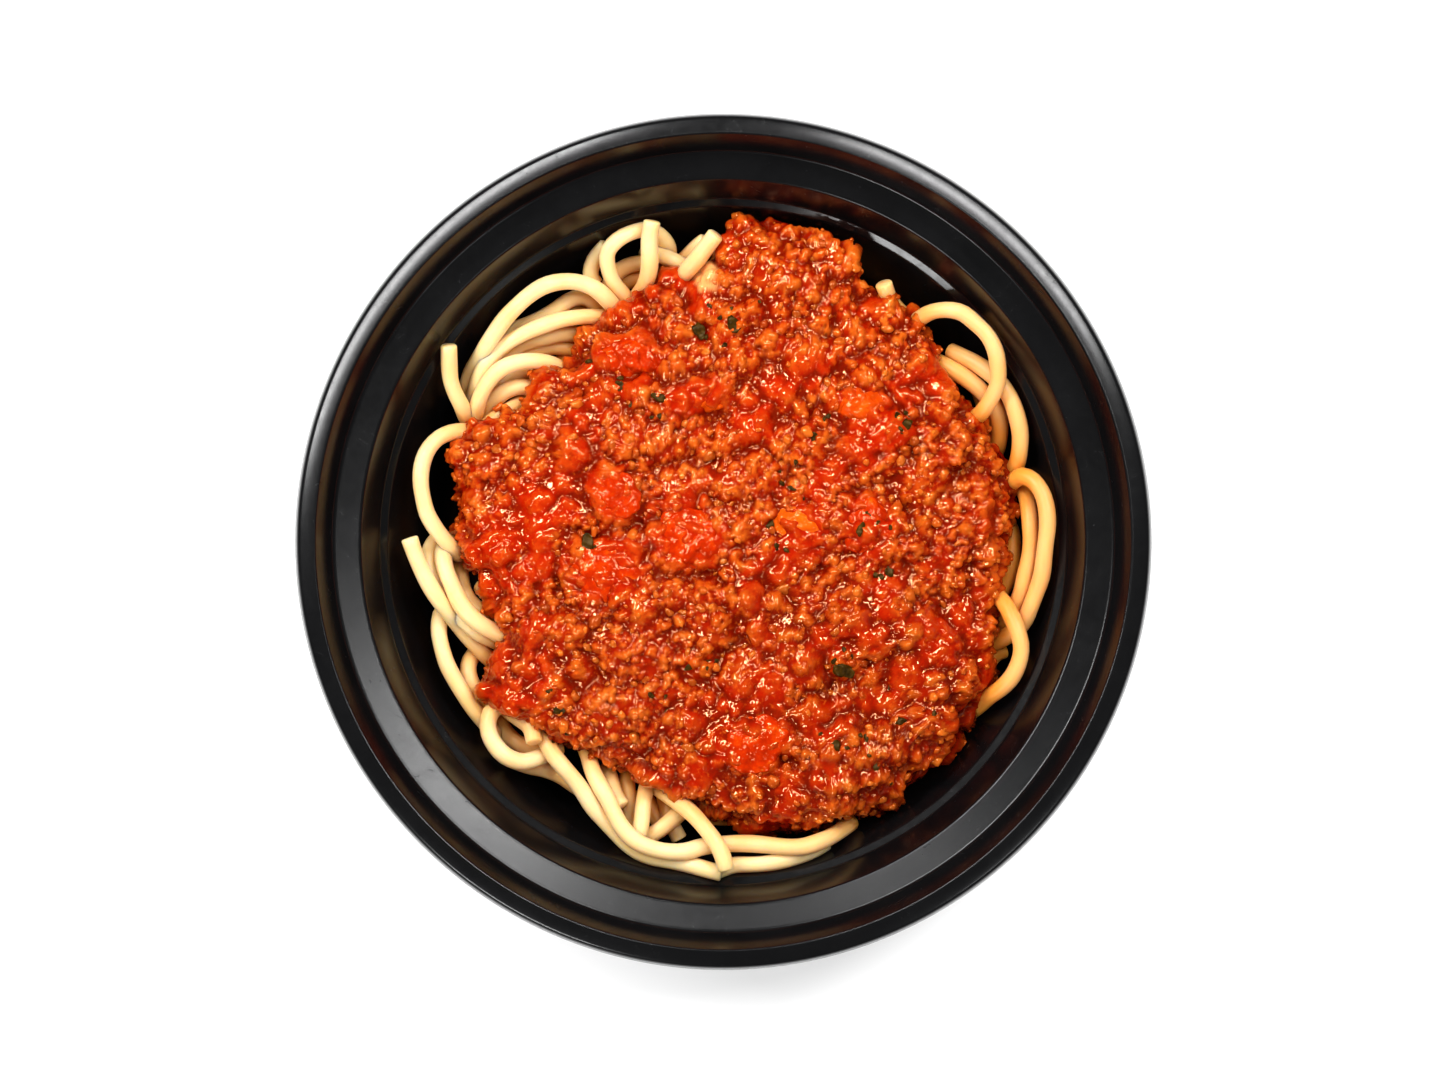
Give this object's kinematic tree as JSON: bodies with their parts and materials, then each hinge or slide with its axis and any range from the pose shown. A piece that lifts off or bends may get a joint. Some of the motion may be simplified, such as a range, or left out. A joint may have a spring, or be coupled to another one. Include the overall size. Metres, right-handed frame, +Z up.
{
  "type": "spaghetti bolognese in a take-away container",
  "caption": "Nest of cooked spaghetti under a lumpy meat and tomato sauce, in a round black plastic take-away container with a flanged rim.",
  "frame": {"origin": "centre of the container's foot, on the surface it stands on", "axes": "+Z up along the container's axis; +Y towards the side with the sauce's tallest lobe, +X to the right of it seen from above"},
  "size_m": [0.16, 0.16, 0.042],
  "materials": {
    "black_plastic": "satin to glossy black moulded plastic",
    "pasta": "moist cooked pasta",
    "meat_sauce": "wet, oily minced meat in tomato sauce",
    "tomato": "wet, soft tomato flesh"
  },
  "bodies": {
    "root": {"container": "black_plastic", "spaghetti": "pasta", "meat_sauce": "meat_sauce", "tomato_piece_1": "tomato", "tomato_piece_2": "tomato", "tomato_piece_3": "tomato", "tomato_piece_4": "tomato", "tomato_piece_5": "tomato", "tomato_piece_6": "tomato", "tomato_piece_7": "tomato", "tomato_piece_8": "tomato", "tomato_piece_9": "tomato"}
  },
  "joints": []
}
